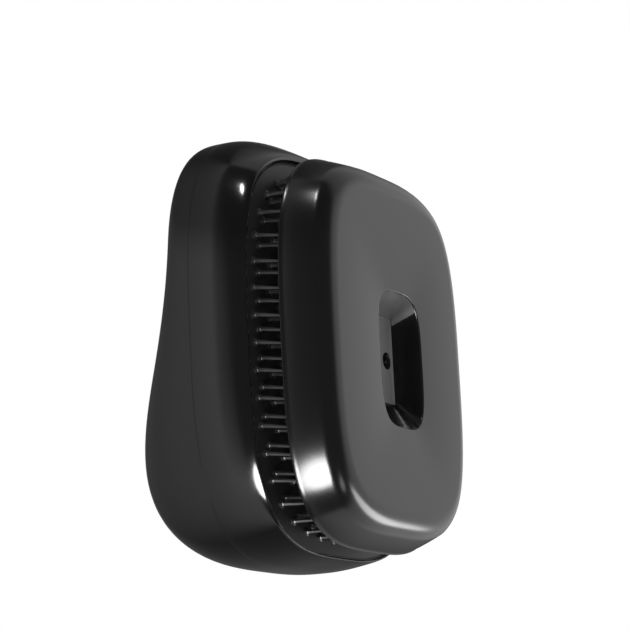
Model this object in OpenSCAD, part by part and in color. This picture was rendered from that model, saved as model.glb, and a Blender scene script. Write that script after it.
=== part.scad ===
// Palm-sized detangling brush with a pull-off cover.
// Millimetres. +Z runs up the brush, the teeth and the cover face -Y, +X is to the right
// of somebody who looks at the cover. The brush is symmetric left to right.

/* [Outline] */
// Half of the body's width
half_w = 38.4; // [34:0.1:42]
// Half of the body's height
half_h = 44.4; // [40:0.1:50]
// How square the outline is: 2 is an ellipse
squareness = 3.2; // [2.8:0.05:4]
// How far the handle's outline sits above the middle of its front opening
crown = 2.2; // [0:0.1:3]

/* [Body] */
// Wall of the two body shells
shell_wall = 1.8; // [1.6:0.1:2.2]
// From the body's outline in to the edge of the front opening
rim_w = 4; // [3.6:0.1:5]
// Depth of the rolled front edge
roll_depth = 3.4; // [2:0.1:4]
// Where that roll ends, in from the outline
roll_inset = 1.7; // [0.8:0.1:2.2]
// Front opening to the seam between the two shells
seam_depth = 11.3; // [10:0.1:12.5]
// Length of the tongue that locates the two shells
tongue_l = 0.7; // [0.5:0.1:1]
// Body depth at its thin top end
depth_top = 19.3; // [17:0.1:21]
// Body depth at the bulge in its lower end
depth_bulge = 36; // [32:0.1:43]
// Height at which the back starts to swell
swell_top = 22; // [15:1:28]
// Height at which the bulge is full
swell_end = -40; // [-48:1:-30]
// How square the back's sections are at mid height
back_squareness = 4.2; // [3.2:0.1:5]
// How much squarer they are at the top, and rounder at the bottom
back_taper = 1.5; // [0:0.1:1.5]

/* [Pad and teeth] */
// From the front edge back to the pad's face
pad_recess = 0.8; // [0.7:0.1:1.4]
// Thickness of the tooth pad
pad_t = 1.6; // [1.2:0.1:2]
// Width of the ledge that the pad's edge lies behind
ledge_w = 0.8; // [0.6:0.1:1.2]
// Length of the long teeth
long_tooth = 7.6; // [7:0.1:7.8]
// Length of the short teeth
short_tooth = 5.4; // [4.8:0.1:5.6]
// Tooth radius at its root
tooth_root_r = 0.6; // [0.5:0.05:0.8]
// Tooth radius at its tip
tooth_tip_r = 0.35; // [0.25:0.05:0.45]
// First row of teeth, in from the outline
first_row = 7.5; // [7.4:0.1:9]
// From the first row in to the staggered row behind it
stagger = 2.2; // [2:0.1:3]
// From each row after that in to the next
row_gap = 4.35; // [4:0.05:4.6]
// Spacing of the teeth along a row
tooth_pitch = 5.75; // [5:0.25:8]
// Radius of the collar round each root
collar_r = 0.95; // [0.85:0.05:1.1]
// Height of that collar
collar_h = 0.35; // [0.3:0.05:0.6]

/* [Carrier] */
// Thickness of the plate behind the pad
carrier_t = 1.7; // [1.4:0.1:2.2]
// Wall of the latch socket
socket_wall = 1.2; // [1:0.1:1.6]

/* [Cover] */
// Cover depth from its rim to its face
cover_depth = 9.4; // [9.2:0.1:12]
// Wall of the cover
cover_wall = 1.2; // [1:0.1:1.3]
// Radius of the soft edge round the cover's face
edge_r = 5.6; // [4.5:0.1:6]
// How far the side wall leans in before that edge
wall_lean = 1; // [0.5:0.1:1.4]
// Gap all round between the cover and the opening
cover_gap = 0.4; // [0.3:0.05:0.6]
// How far the cover stands off the front edge
cover_lift = 6.4; // [3:0.1:9]

/* [Pocket] */
// Half of the pocket's width at the face
pocket_half_w = 9.4; // [9:0.1:11]
// Half of the pocket's height at the face
pocket_half_h = 14; // [12:0.1:16]
// How far the pocket's mouth sits below the middle of the cover
pocket_drop = 1.5; // [0:0.1:2]
// Depth of the pocket
pocket_depth = 6.5; // [5:0.1:7.4]
// How far the side walls lean in
pocket_lean_w = 0.8; // [0.4:0.1:2]
// How far the end walls lean in
pocket_lean_h = 4.9; // [3:0.1:6]
// How square the pocket's mouth is
pocket_squareness = 3.7; // [3:0.1:5]
// How square the pocket's floor is
floor_squareness = 12; // [8:1:16]
// Width of the broken edge round the pocket's mouth
mouth_edge = 0.3; // [0.2:0.1:0.8]

/* [Latch] */
// Width of the latch block over both legs
latch_w = 12; // [9:0.1:15]
// Height of the legs
latch_h = 10; // [8:0.1:12]
// Thickness of one leg
leg_t = 1.6; // [1.2:0.1:2]
// How far the legs still reach into the pad's slot when the cover is lifted
leg_grip = 1.3; // [1:0.1:2]
// Bead along the outside of each leg's end
bead_r = 0.4; // [0.3:0.05:0.6]
// Gap between latch and socket
latch_gap = 0.15; // [0.1:0.05:0.3]
// From the legs' ends to the socket's floor when the cover is closed
end_gap = 0.4; // [0.2:0.1:1]

/* [Hidden] */

steps = 72;                 // points round every outline
roll_steps = 7;             // points along a rolled edge
flare_steps = 4;            // points along the front shell's side
flare_curve = 1.6;          // how soon that side flattens out: 1 is a straight flare
back_steps = 13;            // rings from the seam to the middle of the back
back_end = 88;              // angle of the last of them, where 90 would be a point
touch_gap = 0.1;            // clearance of pieces of one body that only locate each other
shell_black = "#161718";
pad_black = "#1c1c1e";

carrier_y = pad_recess + pad_t;
carrier_back = carrier_y + carrier_t;
ledge_inset = rim_w - ledge_w;          // the pad's edge
lip_r = 0.6;                            // round of the opening's front edge
lip_break = 0.3 * lip_r;                // middle of that round, in from both of its ends
cover_inset = rim_w + cover_gap;        // the cover's rim
rim_y = -cover_lift;
face_y = rim_y - cover_depth;
floor_y = face_y + pocket_depth;
boss_y = floor_y + cover_wall;          // back of the pocket's floor
travel = cover_lift + pad_recess - touch_gap;   // closing the cover, until its rim meets the pad
legs_y = pad_recess + leg_grip;         // ends of the legs
socket_floor = legs_y + travel + end_gap;
slot_w = latch_w + 2 * (bead_r + latch_gap);
slot_h = latch_h + 2 * latch_gap;

// One point of a superellipse, at angle t
function se(t, a, b, n) = [
    a * sign(cos(t)) * pow(abs(cos(t)), 2 / n),
    b * sign(sin(t)) * pow(abs(sin(t)), 2 / n)];

// Its outward normal at a point p
function se_normal(p, a, b, n) = let (
    g = [sign(p[0]) * pow(abs(p[0] / a), n - 1) / a, sign(p[1]) * pow(abs(p[1] / b), n - 1) / b])
    g / norm(g);

// The opening's outline family: half_w by half_h, moved inward by inset and up by lift
function outline(inset, lift = 0) = [for (i = [0 : steps - 1]) let (
    p = se(i * 360 / steps, half_w, half_h, squareness))
    p - inset * se_normal(p, half_w, half_h, squareness) + [0, lift]];

// The same, with the share of the crown that a line between opening and outline has
function rim_outline(inset) = outline(inset, crown * (1 - inset / rim_w));

function oval(a, b, n, lift = 0) = [for (i = [0 : steps - 1]) se(i * 360 / steps, a, b, n) + [0, lift]];

// A ring of points in space, from an outline and its depth
function ring(flat, y) = [for (p = flat) [p[0], y, p[1]]];

function middle(r) = [for (p = r) 1] * r / len(r);

// Closed skin over a chain of rings, with a fan of faces over its first and its last ring.
// Where the chain runs towards +Y, the solid lies inside the rings.
module skin(rings) {
    n = len(rings[0]);
    m = len(rings);
    points = concat([for (r = rings) each r], [middle(rings[0]), middle(rings[m - 1])]);
    sides = [for (k = [0 : m - 2], i = [0 : n - 1]) each [
        [k * n + i, k * n + (i + 1) % n, (k + 1) * n + i],
        [k * n + (i + 1) % n, (k + 1) * n + (i + 1) % n, (k + 1) * n + i]]];
    first = [for (i = [0 : n - 1]) [m * n, (i + 1) % n, i]];
    last = [for (i = [0 : n - 1]) [m * n + 1, (m - 1) * n + i, (m - 1) * n + (i + 1) % n]];
    polyhedron(points, concat(first, sides, last), convexity = 8);
}

// Closed tube: the last ring joins the first
module ring_skin(rings) {
    n = len(rings[0]);
    m = len(rings);
    points = [for (r = rings) each r];
    polyhedron(points, [for (k = [0 : m - 1], i = [0 : n - 1]) each [
        [k * n + i, k * n + (i + 1) % n, ((k + 1) % m) * n + i],
        [k * n + (i + 1) % n, ((k + 1) % m) * n + (i + 1) % n, ((k + 1) % m) * n + i]]],
        convexity = 6);
}

// A flat plate with the body's outline, from y0 back to y1
module plate(inset, y0, y1) {
    translate([0, y1, 0]) rotate([90, 0, 0]) linear_extrude(y1 - y0) polygon(rim_outline(inset));
}

// A block from y0 back to y1, with its middle at x
module block(w, h, y0, y1, x = 0) {
    translate([x - w / 2, y0, -h / 2]) cube([w, y1 - y0, h]);
}

// Smooth step from 0 to 1
function smooth(u) = let (v = min(1, max(0, u))) v * v * (3 - 2 * v);

// Depth of the back at height z: thin at the top, full in the lower bulge
function back_depth(z) =
    depth_top + (depth_bulge - depth_top) * smooth((swell_top - z) / (swell_top - swell_end));

// Rings of the back, from the seam to a small closing ring
function back_rings(inset) = let (edge = outline(inset, crown)) [
    for (k = [0 : back_steps - 1]) [for (p = edge) let (
        s = k * back_end / (back_steps - 1),
        n = back_squareness + back_taper * p[1] / half_h,
        g = pow(cos(s), 2 / n),
        z = p[1] * g)
        [p[0] * g, seam_depth + (back_depth(z) - inset - seam_depth) * pow(sin(s), 2 / n), z]]];

function reversed(list) = [for (i = [len(list) - 1 : -1 : 0]) list[i]];

// ---- Body -------------------------------------------------------------------------------

// One closed chain: the inside from its middle to the seam, then the outside back
module palm_shell() {
    color(shell_black) at_origin()
        skin(concat(reversed(back_rings(shell_wall)), back_rings(0)));
}

// The outside of the front shell as [inset, depth]: the roll, then a flare to the seam
function front_profile() = let (lip = rim_w - lip_r) concat(
    [for (k = [0 : roll_steps]) let (u = k * 90 / roll_steps)
        [roll_inset + (lip - roll_inset) * (1 - sin(u)), roll_depth * (1 - cos(u))]],
    [for (k = [1 : flare_steps]) let (v = k / flare_steps)
        [roll_inset * pow(1 - v, flare_curve), roll_depth + (seam_depth - roll_depth) * v]]);

module front_shell() {
    tongue_in = shell_wall + touch_gap;
    outside = [for (p = front_profile()) ring(rim_outline(p[0]), p[1])];
    tongue = [
        ring(outline(tongue_in, crown), seam_depth),
        ring(outline(tongue_in, crown), seam_depth + tongue_l),
        ring(outline(ledge_inset, crown), seam_depth + tongue_l)];
    inside = [
        ring(rim_outline(ledge_inset), carrier_back),
        ring(rim_outline(ledge_inset), pad_recess),
        ring(rim_outline(rim_w), pad_recess),
        ring(rim_outline(rim_w), lip_r),
        ring(rim_outline(rim_w - lip_break), lip_break)];
    color(shell_black) at_origin() ring_skin(concat(outside, tongue, inside));
}

module pad_carrier() {
    color(pad_black) at_origin() difference() {
        plate(ledge_inset, carrier_y, carrier_back);
        block(slot_w, slot_h, 0, carrier_back + 1);
    }
}

module latch_socket() {
    color(pad_black) at_origin() difference() {
        block(slot_w + 2 * socket_wall, slot_h + 2 * socket_wall, carrier_back,
            socket_floor + socket_wall);
        block(slot_w, slot_h, carrier_back - 1, socket_floor);
    }
}

module tooth_pad() {
    color(pad_black) at_origin() difference() {
        plate(ledge_inset, pad_recess, carrier_y);
        block(slot_w, slot_h, 0, carrier_y + 1);
    }
}

// ---- Teeth ------------------------------------------------------------------------------

// Rows follow the outline. Each entry: inset of the row, and whether its teeth are long.
tooth_rows = [[first_row, false], for (k = [0 : 3]) [first_row + stagger + k * row_gap, k % 2 == 0]];

function row_length(pts) = let (n = len(pts))
    [for (i = 0, s = 0; i <= n; s = s + norm(pts[(i + 1) % n] - pts[i % n]), i = i + 1) s];

// Evenly spaced places along a row; a half step moves every second row
function row_places(inset, half) = let (
    pts = oval(half_w - inset, half_h - inset, squareness),
    run = row_length(pts),
    total = run[len(pts)],
    count = 2 * round(total / tooth_pitch / 2))
    [for (k = [0 : count - 1]) let (
        d = (k + (half ? 0.5 : 0)) * total / count,
        i = max([for (j = [0 : len(pts) - 1]) run[j] <= d ? j : 0]),
        u = (d - run[i]) / (run[i + 1] - run[i]))
        pts[i] * (1 - u) + pts[(i + 1) % len(pts)] * u];

module tooth(length) {
    rotate([90, 0, 0]) {
        cylinder(h = collar_h, r = collar_r, $fn = 16);
        cylinder(h = length, r1 = tooth_root_r, r2 = tooth_tip_r, $fn = 16);
    }
}

module teeth(is_long) {
    for (i = [0 : len(tooth_rows) - 1])
        if (tooth_rows[i][1] == is_long)
            for (p = row_places(tooth_rows[i][0], i % 2 == 1))
                translate([p[0], pad_recess, p[1]]) tooth(is_long ? long_tooth : short_tooth);
}

module long_teeth() { color(pad_black) at_origin() teeth(true); }

module short_teeth() { color(pad_black) at_origin() teeth(false); }

// ---- Cover ------------------------------------------------------------------------------

// Rings of the cover's side and soft edge, from its rim to its face; wall moves them inward
function side_rings(wall) = let (edge = cover_inset + wall_lean) concat(
    [ring(outline(cover_inset + wall), rim_y)],
    [for (k = [0 : roll_steps]) let (u = k * 90 / roll_steps)
        ring(outline(edge + wall + (edge_r - wall) * (1 - cos(u))),
            face_y + edge_r - (edge_r - wall) * sin(u))]);

// Rings of the pocket, from its mouth to its floor; wall moves them outward and back
function pocket_rings(wall) = [
    ring(oval(pocket_half_w + wall, pocket_half_h + wall, pocket_squareness, -pocket_drop),
        face_y + wall),
    ring(oval(pocket_half_w - pocket_lean_w + wall, pocket_half_h - pocket_lean_h + wall,
        floor_squareness), floor_y + wall)];

// The visible side of the pocket, with the broken edge round its mouth
function mouth_rings() = [
    ring(oval(pocket_half_w + mouth_edge, pocket_half_h + mouth_edge, pocket_squareness,
        -pocket_drop), face_y),
    ring(oval(pocket_half_w, pocket_half_h, pocket_squareness, -pocket_drop),
        face_y + mouth_edge),
    pocket_rings(0)[1]];

// One closed chain: pocket, face, side, rim, then the inside back to the boss
module cover_shell() {
    color(shell_black) at_origin() skin(concat(
        reversed(mouth_rings()),
        reversed(side_rings(0)),
        side_rings(cover_wall),
        pocket_rings(cover_wall)));
}

module cover_latch() {
    color(shell_black) at_origin() for (side = [-1, 1]) {
        block(leg_t, latch_h, boss_y, legs_y, x = side * (latch_w - leg_t) / 2);
        translate([side * latch_w / 2, legs_y - bead_r, -latch_h / 2])
            cylinder(h = latch_h, r = bead_r, $fn = 16);
    }
}

// Puts the middle of the whole brush, cover included, at the origin
module at_origin() {
    back_y = max([for (r = back_rings(0), p = r) p[1]]);
    translate([0, -(face_y + back_y) / 2, -crown]) children();
}

palm_shell();
front_shell();
pad_carrier();
latch_socket();
tooth_pad();
long_teeth();
short_teeth();
cover_shell();
cover_latch();
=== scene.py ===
"""Looks of a palm-sized detangling brush: two-part handle, tooth pad, and a cover lifted off it.

Lengths are metres in the shared frame: +Z runs up the brush, the teeth and the cover face -Y.
A depth is measured back from the front edge of the handle's opening, so the cover's are negative.
"""

import math

import bmesh
import bpy
from bpy.props import FloatProperty, FloatVectorProperty, PointerProperty, StringProperty
from mathutils import Matrix, Vector
from mathutils.geometry import interpolate_bezier


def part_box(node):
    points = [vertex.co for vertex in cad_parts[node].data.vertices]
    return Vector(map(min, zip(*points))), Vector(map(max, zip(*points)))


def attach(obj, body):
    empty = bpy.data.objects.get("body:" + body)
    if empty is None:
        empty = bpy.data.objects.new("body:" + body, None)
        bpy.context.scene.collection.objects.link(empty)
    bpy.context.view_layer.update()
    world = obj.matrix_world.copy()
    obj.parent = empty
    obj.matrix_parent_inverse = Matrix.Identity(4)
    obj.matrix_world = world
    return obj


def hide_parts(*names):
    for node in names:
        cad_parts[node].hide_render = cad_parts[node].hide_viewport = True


bl_info = {
    "name": "Detangling Brush with Cover",
    "version": (1, 0, 0),
    "blender": (4, 5, 0),
    "location": "View3D > Sidebar > Brush",
    "description": "Builds the visible pieces of a palm-sized detangling brush and its cover",
    "category": "Add Mesh",
}

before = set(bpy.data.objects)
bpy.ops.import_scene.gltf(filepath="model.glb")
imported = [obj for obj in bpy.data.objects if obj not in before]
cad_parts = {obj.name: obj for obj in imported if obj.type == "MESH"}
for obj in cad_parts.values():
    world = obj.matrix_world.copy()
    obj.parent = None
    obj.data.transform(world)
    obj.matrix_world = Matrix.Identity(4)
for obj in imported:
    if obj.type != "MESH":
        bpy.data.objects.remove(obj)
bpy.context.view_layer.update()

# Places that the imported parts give. The front plane is the zero of every depth.
FRONT_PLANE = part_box("front_shell")[0].y
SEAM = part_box("palm_shell")[0].y - FRONT_PLANE
PAD_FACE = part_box("tooth_pad")[0].y - FRONT_PLANE
CARRIER_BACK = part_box("pad_carrier")[1].y - FRONT_PLANE
COVER_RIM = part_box("cover_shell")[1].y - FRONT_PLANE
COVER_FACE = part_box("cover_shell")[0].y - FRONT_PLANE
HALF_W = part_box("palm_shell")[1].x
HALF_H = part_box("palm_shell")[1].z
# The opening, the teeth and the cover sit this far below the middle of the handle's outline
CROWN = -(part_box("cover_shell")[0].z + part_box("cover_shell")[1].z) / 2

AROUND = 288        # points round an outline
CREASE = math.radians(24)   # edges sharper than this stay crisp
# Steps that curves are cut into
BACK_STEPS = 40         # the palm side, outside
BACK_INNER_STEPS = 16   # the palm side, inside
ROLL_STEPS = 24         # the handle's rolled front edge
FLARE_STEPS = 10        # the side wall, where it flares into that edge
TIP_STEPS = 3           # a tooth's rounded tip
TOOTH_SIDES = 8         # round a tooth
COVER_WALL_STEPS = 12
COVER_EDGE_STEPS = 20
FILLET = 0.15           # at a tooth's foot, as a share of its collar's radius
WAVE_W = 0.012          # width of the slow waves of tone in the plastics, m
WAVE_TONE = 0.1         # how much they darken and lighten, as a share
SHEEN_TURN = -0.3        # a face of the pocket's floor or upper ramp gets the pale painted sheen when it is turned further than this
GATE_SHARE = 0.95       # the pale painted sheen starts outside this share of the gate mark's radius
FLOOR_GLOW = 0.25       # what the camera sees on top of the floor's own paint
CLIP_START = 0.01       # nearest that the camera sees, m


class HandleSizes(bpy.types.PropertyGroup):
    squareness: FloatProperty(
        name="Outline squareness", description="2 is an ellipse, more is squarer", default=3.2)
    wall: FloatProperty(
        name="Wall", description="Wall of the two handle shells", default=0.0018, unit="LENGTH")
    rim_w: FloatProperty(
        name="Rim width", description="From the outline in to the opening", default=0.004,
        unit="LENGTH")
    lip_w: FloatProperty(
        name="Lip width", description="Width of the round at the opening's front edge",
        default=0.0007, unit="LENGTH")
    lip_h: FloatProperty(
        name="Lip height", description="Depth of that round", default=0.0006, unit="LENGTH")
    roll_depth: FloatProperty(
        name="Roll depth", description="Depth of the rolled front edge", default=0.0055,
        unit="LENGTH")
    roll_inset: FloatProperty(
        name="Roll inset", description="Where that roll ends, in from the outline", default=0.0009,
        unit="LENGTH")
    roll_hold: FloatProperty(
        name="Roll hold", description="How long the roll keeps the side's lean before it turns",
        default=0.66, subtype="FACTOR")
    flare_curve: FloatProperty(
        name="Flare curve", description="How soon the side flattens out behind the roll",
        default=2)
    seam_r: FloatProperty(
        name="Seam edge radius", description="Round of each shell's edge at the parting line",
        default=0.00006, unit="LENGTH")
    tongue_l: FloatProperty(
        name="Tongue", description="Length of the tongue that locates the two shells",
        default=0.0007, unit="LENGTH")
    fit: FloatProperty(
        name="Fit", description="Clearance round that tongue", default=0.0001, unit="LENGTH")
    ledge_w: FloatProperty(
        name="Ledge width", description="Width of the ledge in front of the pad's edge",
        default=0.0008, unit="LENGTH")
    depth_top: FloatProperty(
        name="Depth at the top", description="Handle depth at its thin top end", default=0.0193,
        unit="LENGTH")
    depth_bulge: FloatProperty(
        name="Depth of the bulge", description="Handle depth at its lower bulge", default=0.036,
        unit="LENGTH")
    swell_top: FloatProperty(
        name="Swell start", description="Height at which the back starts to swell", default=0.022,
        unit="LENGTH")
    swell_end: FloatProperty(
        name="Swell end", description="Height at which the bulge is full", default=-0.040,
        unit="LENGTH")
    back_squareness: FloatProperty(
        name="Back squareness", description="Squareness of the back's sections at mid height",
        default=4.2)
    back_taper: FloatProperty(
        name="Back taper", description="How much squarer they are at the top, rounder below",
        default=1.5)


class PadSizes(bpy.types.PropertyGroup):
    long_tooth: FloatProperty(
        name="Long teeth", description="Length of the long teeth", default=0.0076, unit="LENGTH")
    short_tooth: FloatProperty(
        name="Short teeth", description="Length of the short teeth", default=0.0060, unit="LENGTH")
    root_r: FloatProperty(
        name="Root radius", description="Tooth radius at its root", default=0.0005, unit="LENGTH")
    tip_r: FloatProperty(
        name="Tip radius", description="Tooth radius at its tip", default=0.0003, unit="LENGTH")
    collar_r: FloatProperty(
        name="Collar radius", description="Radius of the collar round a root", default=0.00092,
        unit="LENGTH")
    collar_h: FloatProperty(
        name="Collar height", description="Height of that collar", default=0.00035, unit="LENGTH")
    first_row: FloatProperty(
        name="First row", description="First row of teeth, in from the outline", default=0.0074,
        unit="LENGTH")
    stagger: FloatProperty(
        name="Stagger", description="From the first row in to the staggered row behind it",
        default=0.0018, unit="LENGTH")
    row_gap: FloatProperty(
        name="Row gap", description="From each row after that in to the next", default=0.00435,
        unit="LENGTH")
    pitch: FloatProperty(
        name="Pitch", description="Spacing of the teeth along a row", default=0.00565,
        unit="LENGTH")
    lean: FloatProperty(
        name="Lean", description="How far the teeth lean down along the sides", default=0.16,
        unit="ROTATION", subtype="ANGLE")
    border_w: FloatProperty(
        name="Border width", description="Width of the raised line round the pad",
        default=0.0002, unit="LENGTH")
    border_h: FloatProperty(
        name="Border height", description="Height of that line over the pad", default=0.0003,
        unit="LENGTH")
    border_gap: FloatProperty(
        name="Border gap", description="Groove between that line and the handle",
        default=0.0001, unit="LENGTH")


class CoverSizes(bpy.types.PropertyGroup):
    wall: FloatProperty(
        name="Wall", description="Wall of the cover", default=0.001, unit="LENGTH")
    gap: FloatProperty(
        name="Gap", description="Gap all round between cover and opening", default=0.0004,
        unit="LENGTH")
    inner_lean: FloatProperty(
        name="Inner lean", description="How far the inside leans in before its soft edge",
        default=0.001, unit="LENGTH")
    inner_edge: FloatProperty(
        name="Inner edge", description="Radius of the inside's soft edge, with the wall added",
        default=0.0056, unit="LENGTH")
    side_start: FloatProperty(
        name="Side at the rim", description="Lean of the side wall where it leaves the rim",
        default=math.radians(17), unit="ROTATION", subtype="ANGLE")
    side_end: FloatProperty(
        name="Side at the edge", description="Lean of the side wall where the soft edge starts",
        default=math.radians(24), unit="ROTATION", subtype="ANGLE")
    edge_start: FloatProperty(
        name="Edge start", description="Lean with which the soft edge starts",
        default=math.radians(36), unit="ROTATION", subtype="ANGLE")
    face_inset: FloatProperty(
        name="Face inset", description="From the rim in to the flat face", default=0.00775,
        unit="LENGTH")
    rim_r: FloatProperty(
        name="Rim edge", description="Round of the rim's edges", default=0.0003, unit="LENGTH")
    mouth_half_w: FloatProperty(
        name="Pocket half width", description="Half of the pocket's width at the face",
        default=0.0094, unit="LENGTH")
    mouth_half_h: FloatProperty(
        name="Pocket half height", description="Half of the pocket's height at the face",
        default=0.0140, unit="LENGTH")
    mouth_drop: FloatProperty(
        name="Pocket drop", description="Pocket's mouth below the middle of the cover",
        default=0.0015, unit="LENGTH")
    mouth_squareness: FloatProperty(
        name="Mouth squareness", description="Squareness of the pocket's mouth", default=3.75)
    mouth_r: FloatProperty(
        name="Mouth edge", description="Round of the pocket's mouth", default=0.0003,
        unit="LENGTH")
    pocket_depth: FloatProperty(
        name="Pocket depth", description="Depth of the pocket", default=0.0065, unit="LENGTH")
    floor_half_w: FloatProperty(
        name="Floor half width", description="Half of the width of the pocket's floor",
        default=0.0084, unit="LENGTH")
    floor_half_h: FloatProperty(
        name="Floor half height", description="Half of the height of the pocket's floor",
        default=0.0092, unit="LENGTH")
    floor_r: FloatProperty(
        name="Floor fillet", description="Fillet round the pocket's floor", default=0.0005,
        unit="LENGTH")
    side_share: FloatProperty(
        name="Side wall share", description="Share of the mouth's height with a flat side wall",
        default=0.96, subtype="FACTOR")
    end_share: FloatProperty(
        name="End wall share", description="Share of the mouth's width with a flat end wall",
        default=0.15, subtype="FACTOR")
    corner_crispness: FloatProperty(
        name="Corner crispness", description="How sharply flat walls turn into corner cones",
        default=30)
    gate_x: FloatProperty(
        name="Gate place", description="Moulding gate's dimple, right of the middle",
        default=0.0062, unit="LENGTH")
    gate_r: FloatProperty(
        name="Gate radius", description="Radius of that dimple", default=0.0018, unit="LENGTH")
    gate_depth: FloatProperty(
        name="Gate depth", description="Depth of that dimple", default=0.0004, unit="LENGTH")
    stub_r: FloatProperty(
        name="Stub radius", description="Radius of the gate's cut stub", default=0.0006,
        unit="LENGTH")


class Finishes(bpy.types.PropertyGroup):
    handle_hex: StringProperty(
        name="Handle", description="sRGB colour of the polished handle", default="#0C0C0D")
    cover_hex: StringProperty(
        name="Cover", description="sRGB colour of the cover", default="#0C0C0D")
    # Pale grey painted onto the black plastic: a painted sheen on the pocket's floor and a painted
    # highlight on its upper ramp
    pocket_sheen_hex: StringProperty(
        name="Pocket floor", description="sRGB colour of the etched pocket floor",
        default="#6C6C6E")
    pad_hex: StringProperty(
        name="Pad", description="sRGB colour of the rubbery pad", default="#232324")
    tooth_hex: StringProperty(
        name="Teeth", description="sRGB colour of the teeth", default="#2C2C2E")
    carrier_hex: StringProperty(
        name="Carrier", description="sRGB colour of the plate behind the pad", default="#1B1B1C")
    floor_hex: StringProperty(
        name="Floor", description="sRGB colour of the studio floor", default="#EDEDEC")


class StageSettings(bpy.types.PropertyGroup):
    focus: FloatVectorProperty(
        name="Focus", description="Point that the camera's distance is measured from",
        default=(0, FRONT_PLANE + COVER_RIM, -CROWN), unit="LENGTH")
    azimuth: FloatProperty(
        name="Azimuth", description="Camera's turn to the left from straight ahead",
        default=1.0846, subtype="ANGLE", unit="ROTATION")
    elevation: FloatProperty(
        name="Elevation", description="Camera's angle above the horizon", default=-0.1984,
        subtype="ANGLE", unit="ROTATION")
    roll: FloatProperty(
        name="Roll", description="Camera's turn about its own axis", default=0.0515,
        subtype="ANGLE", unit="ROTATION")
    distance: FloatProperty(
        name="Distance", description="Camera's distance", default=0.52515, unit="LENGTH")
    aim_side: FloatProperty(
        name="Aim aside", description="Camera's shift to its right", default=-0.00935,
        unit="LENGTH")
    aim_up: FloatProperty(
        name="Aim up", description="Camera's shift upwards", default=0.009, unit="LENGTH")
    view_w: FloatProperty(
        name="View width", description="Width of the view at the focus", default=0.12954,
        unit="LENGTH")
    lamp_distance: FloatProperty(
        name="Lamp distance", description="From the brush to the lamps", default=0.6,
        unit="LENGTH")
    floor_z: FloatProperty(
        name="Floor height", description="Height of the studio floor", default=-0.5,
        unit="LENGTH")
    floor_w: FloatProperty(
        name="Floor width", description="Width of the studio floor", default=6, unit="LENGTH")


# ---- Outlines ---------------------------------------------------------------------------


def unit_superellipse(angle, squareness):
    """A point of the superellipse of half width 1, seen from its middle at that angle."""
    c, s = math.cos(angle), math.sin(angle)
    reach = (abs(c) ** squareness + abs(s) ** squareness) ** (1 / squareness)
    return c / reach, s / reach


def turns():
    return [2 * math.pi * i / AROUND for i in range(AROUND)]


def oval(half_w, half_h, squareness, lift=0.0):
    """An outline as flat points: right and up."""
    unit = [unit_superellipse(t, squareness) for t in turns()]
    return [Vector((half_w * x, half_h * z + lift)) for x, z in unit]


def outline(inset, lift=0.0):
    """The handle's outline, moved in by inset along its normals, and up by lift."""
    n = bpy.context.scene.handle_sizes.squareness
    flat = []
    for p in oval(HALF_W, HALF_H, n):
        slope = Vector((math.copysign(abs(p.x / HALF_W) ** (n - 1), p.x) / HALF_W,
                        math.copysign(abs(p.y / HALF_H) ** (n - 1), p.y) / HALF_H))
        flat.append(p - inset * slope.normalized() + Vector((0, lift)))
    return flat


def rim_outline(inset):
    """The same, where the crown is shared out between opening and outline."""
    share = max(0.0, 1 - inset / bpy.context.scene.handle_sizes.rim_w)
    return outline(inset, CROWN * share)


def ring(flat, depth):
    """Flat points, put at that depth in the shared frame."""
    return [Vector((p.x, FRONT_PLANE + depth, p.y - CROWN)) for p in flat]


def arc(count, start=0.0, end=90.0):
    """Angles in radians from start to end, in count steps."""
    return [math.radians(start + (end - start) * k / count) for k in range(count + 1)]


# ---- Mesh helpers -----------------------------------------------------------------------


def skin(bm, rings):
    """Lays a grid over a chain of rings and welds its seam. A ring of one place closes a pole."""
    across, along = len(rings[0]), len(rings) - 1
    grid = bmesh.ops.create_grid(bm, x_segments=across, y_segments=along, size=1)["verts"]
    for v in grid:
        column = round((v.co.x + 1) / 2 * across) % across
        v.co = rings[round((v.co.y + 1) / 2 * along)][column]
    bmesh.ops.remove_doubles(bm, verts=grid, dist=1e-7)


def add_piece(bm, name, material, body, nodes=()):
    """Makes the mesh an object that rides on its body and stands for its nodes."""
    bmesh.ops.recalc_face_normals(bm, faces=bm.faces)
    for face in bm.faces:
        face.smooth = True
    for edge in bm.edges:
        edge.smooth = edge.calc_face_angle(0.0) < CREASE
    mesh = bpy.data.meshes.new(name)
    bm.to_mesh(mesh)
    bm.free()
    mesh.materials.append(material)
    piece = bpy.data.objects.new(name, mesh)
    bpy.context.scene.collection.objects.link(piece)
    if nodes:
        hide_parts(*nodes)
    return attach(piece, body)


# ---- Materials --------------------------------------------------------------------------


def srgb(code):
    """A hex colour as the linear colour that a shader takes."""
    values = [int(code[i:i + 2], 16) / 255 for i in (1, 3, 5)]
    return [v / 12.92 if v <= 0.04045 else ((v + 0.055) / 1.055) ** 2.4 for v in values] + [1]


def add_node(tree, kind, inputs=None, **settings):
    """Adds a node. Each input is a plain value or the output socket of another node."""
    made = tree.nodes.new(kind)
    for name, value in settings.items():
        setattr(made, name, value)
    for name, value in (inputs or {}).items():
        if isinstance(value, bpy.types.NodeSocket):
            tree.links.new(value, made.inputs[name])
        else:
            made.inputs[name].default_value = value
    return made


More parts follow.
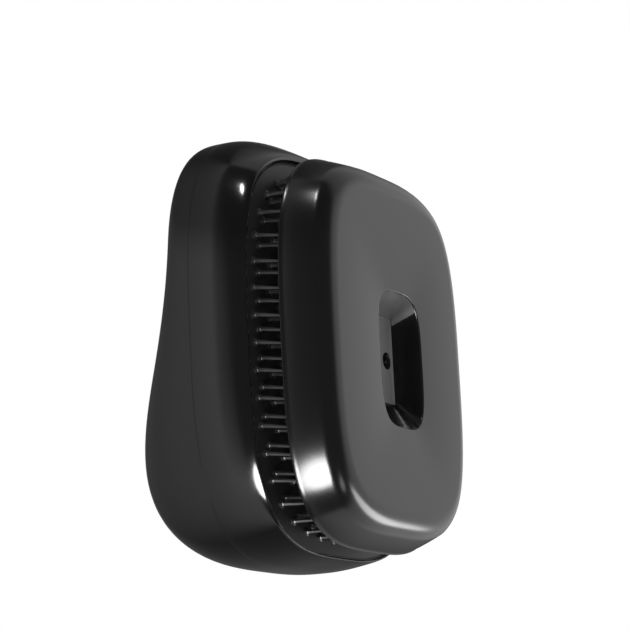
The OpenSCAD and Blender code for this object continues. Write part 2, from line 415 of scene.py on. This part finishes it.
def moulded_plastic(name, code, roughness, ior, grain, grain_height, wander=0.02):
    """Shared build of the moulded plastics: a grain, slow waves, and a slightly uneven gloss."""
    material = bpy.data.materials.new(name)
    material.use_nodes = True
    tree = material.node_tree
    tree.nodes.clear()
    place = add_node(tree, "ShaderNodeTexCoord").outputs["Object"]
    fine = add_node(tree, "ShaderNodeTexNoise", {
        "Vector": place, "Scale": 1 / grain, "Detail": 3.0, "Roughness": 0.6})
    slow = add_node(tree, "ShaderNodeTexNoise", {
        "Vector": place, "Scale": 1 / WAVE_W, "Detail": 2.0, "Roughness": 0.5})
    tone = add_node(tree, "ShaderNodeMapRange", {
        "Value": slow.outputs["Fac"], "To Min": 1 - WAVE_TONE, "To Max": 1 + WAVE_TONE})
    colour = add_node(tree, "ShaderNodeVectorMath", {
        0: srgb(code)[:3], "Scale": tone.outputs["Result"]}, operation="SCALE")
    gloss = add_node(tree, "ShaderNodeMapRange", {
        "Value": fine.outputs["Fac"],
        "To Min": roughness - wander, "To Max": roughness + wander})
    bump = add_node(tree, "ShaderNodeBump", {
        "Height": fine.outputs["Fac"], "Strength": 1.0, "Distance": grain_height})
    surface = add_node(tree, "ShaderNodeBsdfPrincipled", {
        "Base Color": colour.outputs["Vector"], "Roughness": gloss.outputs["Result"],
        "IOR": ior, "Normal": bump.outputs["Normal"]})
    add_node(tree, "ShaderNodeOutputMaterial", {"Surface": surface.outputs["BSDF"]})
    return material


def polished_black_abs():
    """Black ABS from a polished mould: clear reflections, softened by a very faint orange peel."""
    code = bpy.context.scene.brush_finishes.handle_hex
    return moulded_plastic("polished_black_abs", code, 0.12, 1.53, 0.0009, 0.0000015)


def satin_black_abs():
    """Black ABS from a finely spark-eroded mould: an even sheen with a fine sparkle in it."""
    code = bpy.context.scene.brush_finishes.cover_hex
    return moulded_plastic("satin_black_abs", code, 0.2, 1.53, 0.0004, 0.000002)


def painted_sheen_abs():
    """The same black ABS on the pocket's floor and upper ramp, with a dry, rougher satin; its pale grey
    is painted sheen on the floor and painted highlight on the ramp.
    """
    code = bpy.context.scene.brush_finishes.pocket_sheen_hex
    return moulded_plastic("painted_sheen_abs", code, 0.35, 1.53, 0.0004, 0.000004)


def matte_black_rubber():
    """Black thermoplastic rubber: a dry, even matte with a faint mottle."""
    code = bpy.context.scene.brush_finishes.pad_hex
    return moulded_plastic("matte_black_rubber", code, 0.5, 1.5, 0.0005, 0.00001)


def black_nylon():
    """Black nylon of the teeth: smooth, with a soft bright highlight along each tooth."""
    code = bpy.context.scene.brush_finishes.tooth_hex
    return moulded_plastic("black_nylon", code, 0.3, 1.53, 0.0006, 0.000002)


def plain_black_polypropylene():
    """Unpolished black polypropylene of the hidden carrier: dull, with a coarse mould grain."""
    code = bpy.context.scene.brush_finishes.carrier_hex
    return moulded_plastic("plain_black_polypropylene", code, 0.45, 1.49, 0.0006, 0.000008)


# ---- Handle -----------------------------------------------------------------------------


def smooth(u):
    v = min(1.0, max(0.0, u))
    return v * v * (3 - 2 * v)


def back_depth(z):
    """Depth of the back at height z: thin at the top, full in the lower bulge."""
    s = bpy.context.scene.handle_sizes
    swell = smooth((s.swell_top - z) / (s.swell_top - s.swell_end))
    return s.depth_top + (s.depth_bulge - s.depth_top) * swell


def back_rings(inset, count):
    """Rings from the seam to the middle of the back, for the skin moved in by inset."""
    s = bpy.context.scene.handle_sizes
    edge = outline(inset, CROWN)
    rings = []
    for angle in arc(count):
        points = []
        for p in edge:
            n = s.back_squareness + s.back_taper * p.y / HALF_H
            out, back = unit_superellipse(angle, n)
            z = p.y * out
            depth = SEAM + (back_depth(z) - inset - SEAM) * back
            points.append(Vector((p.x * out, FRONT_PLANE + depth, z - CROWN)))
        rings.append(points)
    return rings


class BRUSH_OT_palm_shell(bpy.types.Operator):
    """Back half of the handle, a closed shell with its inside"""

    bl_idname = "brush.palm_shell"
    bl_label = "Palm Shell"

    def execute(self, context):
        s = context.scene.handle_sizes
        outside = back_rings(0, BACK_STEPS)
        eased = [ring(outline(s.seam_r * (1 - math.sin(t)), CROWN),
                      SEAM + s.seam_r * (1 - math.cos(t))) for t in arc(3)]
        inside = back_rings(s.wall, BACK_INNER_STEPS)
        bm = bmesh.new()
        skin(bm, inside[::-1] + eased[:-1] + outside[1:])
        add_piece(bm, "handle_back", polished_black_abs(), "handle", ["palm_shell"])
        return {"FINISHED"}


class BRUSH_OT_front_shell(bpy.types.Operator):
    """Front half of the handle: rolled front edge, flared side and the pad's ledge"""

    bl_idname = "brush.front_shell"
    bl_label = "Front Shell"

    def execute(self, context):
        s = context.scene.handle_sizes
        lip = s.rim_w - s.lip_w
        ledge = s.rim_w - s.ledge_w
        tongue = s.wall + s.fit
        flare_end = SEAM - s.seam_r
        steepness = s.flare_curve * s.roll_inset / (flare_end - s.roll_depth)
        corner = Vector((s.roll_inset + steepness * s.roll_depth, 0))
        back, front = Vector((s.roll_inset, s.roll_depth)), Vector((lip, 0))
        roll = interpolate_bezier(front, front.lerp(corner, s.roll_hold),
                                  back.lerp(corner, s.roll_hold), back, ROLL_STEPS)
        flare = [(s.roll_inset * (1 - v / FLARE_STEPS) ** s.flare_curve,
                  s.roll_depth + (flare_end - s.roll_depth) * v / FLARE_STEPS)
                 for v in range(1, FLARE_STEPS + 1)]
        eased = [(s.seam_r * (1 - math.cos(t)), flare_end + s.seam_r * math.sin(t))
                 for t in arc(3)][1:]
        lip_round = [(lip + s.lip_w * math.sin(t), s.lip_h * (1 - math.cos(t)))
                     for t in arc(8)][1:]
        outside = [ring(rim_outline(i), depth) for i, depth in [*roll, *flare, *eased]]
        joint = [ring(outline(tongue, CROWN), SEAM),
                 ring(outline(tongue, CROWN), SEAM + s.tongue_l),
                 ring(outline(ledge, CROWN), SEAM + s.tongue_l)]
        inside = [ring(rim_outline(ledge), CARRIER_BACK), ring(rim_outline(ledge), PAD_FACE),
                  ring(rim_outline(s.rim_w), PAD_FACE)]
        edge = [ring(rim_outline(i), depth) for i, depth in lip_round[::-1]]
        bm = bmesh.new()
        chain = outside + joint + inside + edge
        skin(bm, chain + chain[:1])
        add_piece(bm, "handle_front", polished_black_abs(), "handle", ["front_shell"])
        return {"FINISHED"}


# ---- Pad and teeth ----------------------------------------------------------------------


class BRUSH_OT_pad(bpy.types.Operator):
    """Finish of the pad and the parts behind it, and the raised line round the pad"""

    bl_idname = "brush.pad"
    bl_label = "Pad and Carrier"

    def execute(self, context):
        s = context.scene.pad_sizes
        rubber, plain = matte_black_rubber(), plain_black_polypropylene()
        dress_node("tooth_pad", rubber)
        dress_node("pad_carrier", plain)
        dress_node("latch_socket", plain)
        outer = context.scene.handle_sizes.rim_w + s.border_gap
        half = s.border_w / 2
        crest = PAD_FACE - s.border_h
        over = [(outer + half * (1 - math.cos(t)), crest + half * (1 - math.sin(t)))
                for t in arc(8, 0, 180)]
        chain = [ring(rim_outline(outer), PAD_FACE)]
        chain += [ring(rim_outline(i), depth) for i, depth in over]
        chain += [ring(rim_outline(outer + s.border_w), PAD_FACE)]
        bm = bmesh.new()
        skin(bm, chain + chain[:1])
        add_piece(bm, "pad_border", rubber, "handle")
        return {"FINISHED"}


def dress_node(name, material):
    """Gives a CAD part that stays as it is its finish."""
    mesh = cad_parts[name].data
    mesh.materials.clear()
    mesh.materials.append(material)


def row_places(inset, half_step):
    """Evenly spaced feet along a row that follows the outline."""
    s = bpy.context.scene.pad_sizes
    squareness = bpy.context.scene.handle_sizes.squareness
    track = oval(HALF_W - inset, HALF_H - inset, squareness)
    run = [0.0]
    for here, there in zip(track, track[1:] + track[:1]):
        run.append(run[-1] + (there - here).length)
    count = 2 * round(run[-1] / s.pitch / 2)
    feet = []
    for k in range(count):
        d = (k + (0.5 if half_step else 0)) * run[-1] / count
        i = max(j for j in range(AROUND) if run[j] <= d)
        share = (d - run[i]) / (run[i + 1] - run[i])
        here, there = track[i], track[(i + 1) % AROUND]
        feet.append((here.lerp(there, share), (there - here).normalized()))
    return feet


def tooth_rows():
    """Each row's inset, whether its teeth are long, and whether it is moved by half a step."""
    s = bpy.context.scene.pad_sizes
    rows = [(s.first_row, False, False)]
    rows += [(s.first_row + s.stagger + k * s.row_gap, k % 2 == 0, k % 2 == 0) for k in range(4)]
    return rows


def add_tooth(bm, foot, along, length):
    """One tooth: collar, fillet, slender taper and rounded tip, leaning down along its row."""
    s = bpy.context.scene.pad_sizes
    slope = -along * along.y * math.tan(s.lean)
    fillet = FILLET * s.collar_r
    profile = [
        (0.0, 0.0), (s.collar_r, 0.0), (s.collar_r, s.collar_h - fillet),
        (s.collar_r - fillet, s.collar_h), (s.root_r + fillet, s.collar_h + fillet / 2),
        (s.root_r, s.collar_h + 3 * fillet), (s.tip_r, length - s.tip_r)]
    profile += [(s.tip_r * math.cos(t), length - s.tip_r * (1 - math.sin(t))) for t in arc(TIP_STEPS)[1:]]
    rings = []
    for radius, height in profile:
        middle = foot + slope * height
        rings.append(ring([middle + radius * Vector((math.cos(t), math.sin(t))) for t in
                           [2 * math.pi * i / TOOTH_SIDES for i in range(TOOTH_SIDES)]],
                          PAD_FACE - height))
    skin(bm, rings)


class BRUSH_OT_teeth(bpy.types.Operator):
    """All the teeth: rows of long and short ones that follow the outline"""

    bl_idname = "brush.teeth"
    bl_label = "Teeth"

    def execute(self, context):
        s = context.scene.pad_sizes
        nylon = black_nylon()
        for name, is_long, length in (("long_tooth_rows", True, s.long_tooth),
                                      ("short_tooth_rows", False, s.short_tooth)):
            bm = bmesh.new()
            for inset, row_is_long, half_step in tooth_rows():
                if row_is_long == is_long:
                    for foot, along in row_places(inset, half_step):
                        add_tooth(bm, foot, along, length)
            node = "long_teeth" if is_long else "short_teeth"
            add_piece(bm, name, nylon, "handle", [node])
        return {"FINISHED"}


# ---- Cover ------------------------------------------------------------------------------


def outer_profile():
    """The cover's side as (inset, depth) from its rim: a hardly bowed wall, then the soft edge.

    Both are arcs. Their radii follow from the depth of the cover and the inset of its face.
    """
    s = bpy.context.scene.cover_sizes
    height = COVER_RIM - COVER_FACE
    wall_in = math.cos(s.side_start) - math.cos(s.side_end)
    wall_up = math.sin(s.side_end) - math.sin(s.side_start)
    edge_in, edge_up = math.cos(s.edge_start), 1 - math.sin(s.edge_start)
    wall_r = (height * edge_in - s.face_inset * edge_up) / (wall_up * edge_in - wall_in * edge_up)
    edge_r = (height - wall_r * wall_up) / edge_up
    side = [(wall_r * (math.cos(s.side_start) - math.cos(t)),
             wall_r * (math.sin(t) - math.sin(s.side_start)))
            for t in arc(COVER_WALL_STEPS, math.degrees(s.side_start), math.degrees(s.side_end))]
    edge = [(s.face_inset - edge_r * math.cos(t), height - edge_r * (1 - math.sin(t)))
            for t in arc(COVER_EDGE_STEPS, math.degrees(s.edge_start), 90)]
    return side + edge[1:]


def inner_rings(steps):
    """Rings of the cover's inside, from its rim to behind the face."""
    s = bpy.context.scene.cover_sizes
    start = bpy.context.scene.handle_sizes.rim_w + s.gap
    rings = [ring(outline(start + s.wall), COVER_RIM)]
    for t in arc(steps):
        inset = start + s.inner_lean + s.wall + (s.inner_edge - s.wall) * (1 - math.cos(t))
        depth = COVER_FACE + s.inner_edge - (s.inner_edge - s.wall) * math.sin(t)
        rings.append(ring(outline(inset), depth))
    return rings


def soft_clip(u, crispness):
    """Runs along u, then levels off at 1: crisp, but without a kink."""
    return u / (1 + abs(u) ** crispness) ** (1 / crispness)


def floor_outline(grow):
    """The pocket's floor: each point is the foot of the mouth's point of the same number."""
    s = bpy.context.scene.cover_sizes
    mouth = oval(s.mouth_half_w, s.mouth_half_h, s.mouth_squareness)
    share_w, share_h = s.end_share * s.mouth_half_w, s.side_share * s.mouth_half_h
    return [Vector(((s.floor_half_w + grow) * soft_clip(p.x / share_w, s.corner_crispness),
                    (s.floor_half_h + grow) * soft_clip(p.y / share_h, s.corner_crispness)))
            for p in mouth]


def pocket_rings():
    """The pocket from its mouth's edge to the middle of its floor: flat walls, corner cones."""
    s = bpy.context.scene.cover_sizes
    floor_depth = COVER_FACE + s.pocket_depth
    rings = []
    for t in arc(5):
        grow = s.mouth_r * (1 - math.sin(t))
        rings.append(ring(oval(s.mouth_half_w + grow, s.mouth_half_h + grow, s.mouth_squareness,
                               -s.mouth_drop), COVER_FACE + s.mouth_r * (1 - math.cos(t))))
    for t in arc(5):
        depth = floor_depth - s.floor_r * (1 - math.sin(t))
        rings.append(ring(floor_outline(-s.floor_r * (1 - math.cos(t))), depth))
    gate = Vector((s.gate_x, 0))
    rays = [(p - gate).normalized() for p in floor_outline(-s.floor_r)]
    dip = floor_depth + s.gate_depth
    steps = [(s.gate_r, floor_depth), (0.88 * s.gate_r, floor_depth + 0.5 * s.gate_depth),
             (0.7 * s.gate_r, dip), (1.2 * s.stub_r, dip), (s.stub_r, floor_depth),
             (0.8 * s.stub_r, floor_depth - 0.3 * s.gate_depth),
             (0.0, floor_depth - 0.1 * s.gate_depth)]
    rings += [ring([gate + radius * ray for ray in rays], depth) for radius, depth in steps]
    return rings


def gets_painted_sheen(place, facing):
    """Whether a face of the cover is on the pocket's floor or its upper ramp, gate left out: the faces
    that get the pale painted sheen and highlight.
    """
    s = bpy.context.scene.cover_sizes
    height = place.z + CROWN
    depth = place.y - FRONT_PLANE - COVER_FACE
    beside_gate = math.hypot(place.x - s.gate_x, height) > GATE_SHARE * s.gate_r
    on_floor = abs(depth - s.pocket_depth) < s.gate_depth and facing.y < SHEEN_TURN and beside_gate
    on_ramp = s.mouth_r < depth < s.pocket_depth and height > 0 and facing.z < SHEEN_TURN
    inside = abs(place.x) < s.mouth_half_w and abs(height) < s.mouth_half_h
    return inside and (on_floor or on_ramp)


class BRUSH_OT_cover(bpy.types.Operator):
    """Cover: soft-edged shell with the deep pocket in its face"""

    bl_idname = "brush.cover"
    bl_label = "Cover"

    def execute(self, context):
        s = context.scene.cover_sizes
        start = context.scene.handle_sizes.rim_w + s.gap
        outside = [ring(outline(start + i), COVER_RIM - up) for i, up in outer_profile()]
        inside = inner_rings(10)
        rim = [ring(outline(start + s.rim_r * (1 - math.cos(t))),
                    COVER_RIM - s.rim_r * (1 - math.sin(t))) for t in arc(5)]
        rim_in = [ring(outline(start + s.wall - s.rim_r * (1 - math.sin(t))),
                       COVER_RIM - s.rim_r * (1 - math.cos(t))) for t in arc(3)]
        back_mouth = ring(oval(s.mouth_half_w + s.wall, s.mouth_half_h + s.wall,
                               s.mouth_squareness, -s.mouth_drop), COVER_FACE + s.wall)
        boss = floor_outline(s.wall)
        boss_depth = COVER_FACE + s.pocket_depth + s.wall
        back = [back_mouth, ring(boss, boss_depth), ring([Vector((0, 0)) for p in boss], boss_depth)]
        bm = bmesh.new()
        skin(bm, pocket_rings()[::-1] + outside[:0:-1] + rim + rim_in + inside[1:] + back)
        cover = add_piece(bm, "cover", satin_black_abs(), "cover", ["cover_shell"])
        # The pocket's floor and upper ramp get the pale grey: painted sheen on the floor, painted
        # highlight on the ramp
        cover.data.materials.append(painted_sheen_abs())
        for face in cover.data.polygons:
            if gets_painted_sheen(face.center, face.normal):
                face.material_index = 1
        dress_node("cover_latch", polished_black_abs())
        return {"FINISHED"}


# ---- Stage ------------------------------------------------------------------------------


def camera_axes():
    """The camera's right, up and back directions."""
    s = bpy.context.scene.stage_settings
    sin_a, cos_a = math.sin(s.azimuth), math.cos(s.azimuth)
    sin_e, cos_e = math.sin(s.elevation), math.cos(s.elevation)
    level = Vector((cos_a, -sin_a, 0))
    steep = Vector((sin_a * sin_e, cos_a * sin_e, cos_e))
    back = Vector((-sin_a * cos_e, -cos_a * cos_e, sin_e))
    right = math.cos(s.roll) * level - math.sin(s.roll) * steep
    up = math.sin(s.roll) * level + math.cos(s.roll) * steep
    return right, up, back


class BRUSH_OT_stage(bpy.types.Operator):
    """Camera, pale floor, soft lamps and the white room"""

    bl_idname = "brush.stage"
    bl_label = "Stage"

    def execute(self, context):
        scene = context.scene
        s = scene.stage_settings
        right, up, back = camera_axes()
        place = Vector(s.focus) + s.distance * back + s.aim_side * right + s.aim_up * up
        data = bpy.data.cameras.new("camera")
        data.angle = 2 * math.atan(s.view_w / 2 / s.distance)
        data.clip_start = CLIP_START
        camera = bpy.data.objects.new("camera", data)
        turned = Matrix((right, up, back)).transposed().to_4x4()
        camera.matrix_world = Matrix.Translation(place) @ turned
        scene.collection.objects.link(camera)
        scene.camera = camera
        bm = bmesh.new()
        bmesh.ops.create_grid(bm, x_segments=1, y_segments=1, size=s.floor_w / 2,
                              matrix=Matrix.Translation((0, 0, s.floor_z)))
        mesh = bpy.data.meshes.new("studio_floor")
        bm.to_mesh(mesh)
        bm.free()
        mesh.materials.append(painted_floor())
        floor = bpy.data.objects.new("studio_floor", mesh)
        scene.collection.objects.link(floor)
        floor.visible_glossy = False
        white_room(scene)
        add_lamps(scene)
        scene.view_settings.view_transform = "Standard"
        return {"FINISHED"}


def painted_floor():
    """Matte white studio paint. Light Path shows it pale to the camera, and keeps shadows in it."""
    material = bpy.data.materials.new("painted_floor")
    material.use_nodes = True
    tree = material.node_tree
    tree.nodes.clear()
    code = bpy.context.scene.brush_finishes.floor_hex
    paint = add_node(tree, "ShaderNodeBsdfDiffuse", {"Color": srgb(code)})
    glow = add_node(tree, "ShaderNodeEmission", {"Color": srgb(code), "Strength": FLOOR_GLOW})
    lit = add_node(tree, "ShaderNodeAddShader", {0: paint.outputs[0], 1: glow.outputs[0]})
    seen = add_node(tree, "ShaderNodeLightPath").outputs["Is Camera Ray"]
    mix = add_node(tree, "ShaderNodeMixShader", {0: seen, 1: paint.outputs[0], 2: lit.outputs[0]})
    add_node(tree, "ShaderNodeOutputMaterial", {"Surface": mix.outputs["Shader"]})
    return material


# The room that the plastic mirrors: a white wall, a dimmer ceiling and two dark flags, one of
# which fades out over a third of the way round. With their fades they leave plain wall only from
# -60 to 0 degrees, where 0 is right, 90 behind the brush, 180 left and -90 in front.
WALLS = 0.9
CEILING = 0.45
CEILING_EDGE = 0.45     # where it starts, as a share of straight up
CEILING_BLEND = 0.1     # half of the height over which it blends in
FLAG = 0.12             # brightness of a flag
# Each flag's edges, and the degrees over which it fades out before and after them
FLAGS = (
    ("front_left_flag", -170, -75, 10, 15),
    ("back_right_flag", 20, 60, 20, 120),
)
# Soft lamps: direction from the brush in degrees, width and height as angles, brightness
LAMPS = (
    ("low_left_softbox", -160, -38, 18, 28, 24.0),
    ("low_right_softbox", -45, -25, 50, 14, 5.0),
    ("low_front_softbox", -98, -33, 12, 14, 2.5),
    ("high_left_lamp", -149, 61, 3, 9, 50.0),
)


def white_room(scene):
    """World: white to the camera and for even light, with flags and ceiling in reflections."""
    world = bpy.data.worlds.new("white_room")
    world.use_nodes = True
    tree = world.node_tree
    tree.nodes.clear()
    toward = add_node(tree, "ShaderNodeTexCoord").outputs["Generated"]
    axes = add_node(tree, "ShaderNodeSeparateXYZ", {"Vector": toward})
    turn = add_node(tree, "ShaderNodeMath", {0: axes.outputs["Y"], 1: axes.outputs["X"]},
                    operation="ARCTAN2")
    share = add_node(tree, "ShaderNodeMapRange", {
        "Value": turn.outputs["Value"], "From Min": -math.pi, "From Max": math.pi})
    ramp = add_node(tree, "ShaderNodeValToRGB", {"Fac": share.outputs["Result"]})
    stops = ramp.color_ramp.elements
    levels = [level for _, start, end, before, after in FLAGS for level in (
        (start - before, WALLS), (start, FLAG), (end, FLAG), (end + after, WALLS))]
    while len(stops) < len(levels):
        stops.new(0.5)
    for stop, (degrees, level) in zip(stops, levels):
        stop.position = (degrees + 180) / 360
        stop.color = (level, level, level, 1)
    above = add_node(tree, "ShaderNodeMapRange", {
        "Value": axes.outputs["Z"], "From Min": CEILING_EDGE - CEILING_BLEND,
        "From Max": CEILING_EDGE + CEILING_BLEND, "To Min": 1.0, "To Max": CEILING / WALLS})
    room = add_node(tree, "ShaderNodeVectorMath", {
        0: ramp.outputs["Color"], "Scale": above.outputs["Result"]},
        operation="SCALE").outputs["Vector"]
    path = add_node(tree, "ShaderNodeLightPath")
    mirrored = add_node(tree, "ShaderNodeBackground", {"Color": room, "Strength": 1.0})
    even = add_node(tree, "ShaderNodeBackground", {"Color": (1, 1, 1, 1), "Strength": 1.0})
    mix = add_node(tree, "ShaderNodeMixShader", {
        0: path.outputs["Is Glossy Ray"], 1: even.outputs[0], 2: mirrored.outputs[0]})
    add_node(tree, "ShaderNodeOutputWorld", {"Surface": mix.outputs["Shader"]})
    scene.world = world


def add_lamps(scene):
    """Softboxes and lamps, which show in the plastic and add little other light."""
    distance = scene.stage_settings.lamp_distance
    for name, turn, rise, wide, high, level in LAMPS:
        data = bpy.data.lights.new(name, "AREA")
        data.shape = "ELLIPSE"
        data.size = 2 * distance * math.tan(math.radians(wide / 2))
        data.size_y = 2 * distance * math.tan(math.radians(high / 2))
        data.energy = level * math.pi * data.size * data.size_y
        lamp = bpy.data.objects.new(name, data)
        flat = math.cos(math.radians(rise))
        toward = Vector((flat * math.cos(math.radians(turn)), flat * math.sin(math.radians(turn)),
                         math.sin(math.radians(rise))))
        aim = (-toward).to_track_quat("-Z", "Y").to_matrix().to_4x4()
        lamp.matrix_world = Matrix.Translation(distance * toward) @ aim
        lamp.visible_diffuse = False
        lamp.visible_camera = False
        scene.collection.objects.link(lamp)


# ---- Add-on -----------------------------------------------------------------------------


class BRUSH_PT_panel(bpy.types.Panel):
    """Buttons that build the brush, piece by piece"""

    bl_idname = "BRUSH_PT_panel"
    bl_label = "Detangling Brush"
    bl_space_type = "VIEW_3D"
    bl_region_type = "UI"
    bl_category = "Brush"

    def draw(self, context):
        for operator in OPERATORS:
            self.layout.operator(operator.bl_idname)


GROUPS = {"handle_sizes": HandleSizes, "pad_sizes": PadSizes, "cover_sizes": CoverSizes,
          "brush_finishes": Finishes, "stage_settings": StageSettings}
OPERATORS = (BRUSH_OT_palm_shell, BRUSH_OT_front_shell, BRUSH_OT_pad, BRUSH_OT_teeth,
             BRUSH_OT_cover, BRUSH_OT_stage)


def register():
    for group_name, group in GROUPS.items():
        bpy.utils.register_class(group)
        setattr(bpy.types.Scene, group_name, PointerProperty(type=group))
    for made in (*OPERATORS, BRUSH_PT_panel):
        bpy.utils.register_class(made)


def unregister():
    for made in (BRUSH_PT_panel, *reversed(OPERATORS)):
        bpy.utils.unregister_class(made)
    for group_name, group in reversed(GROUPS.items()):
        delattr(bpy.types.Scene, group_name)
        bpy.utils.unregister_class(group)


def main():
    register()
    bpy.ops.brush.palm_shell()
    bpy.ops.brush.front_shell()
    bpy.ops.brush.pad()
    bpy.ops.brush.teeth()
    bpy.ops.brush.cover()
    bpy.ops.brush.stage()


if __name__ == "__main__":
    main()
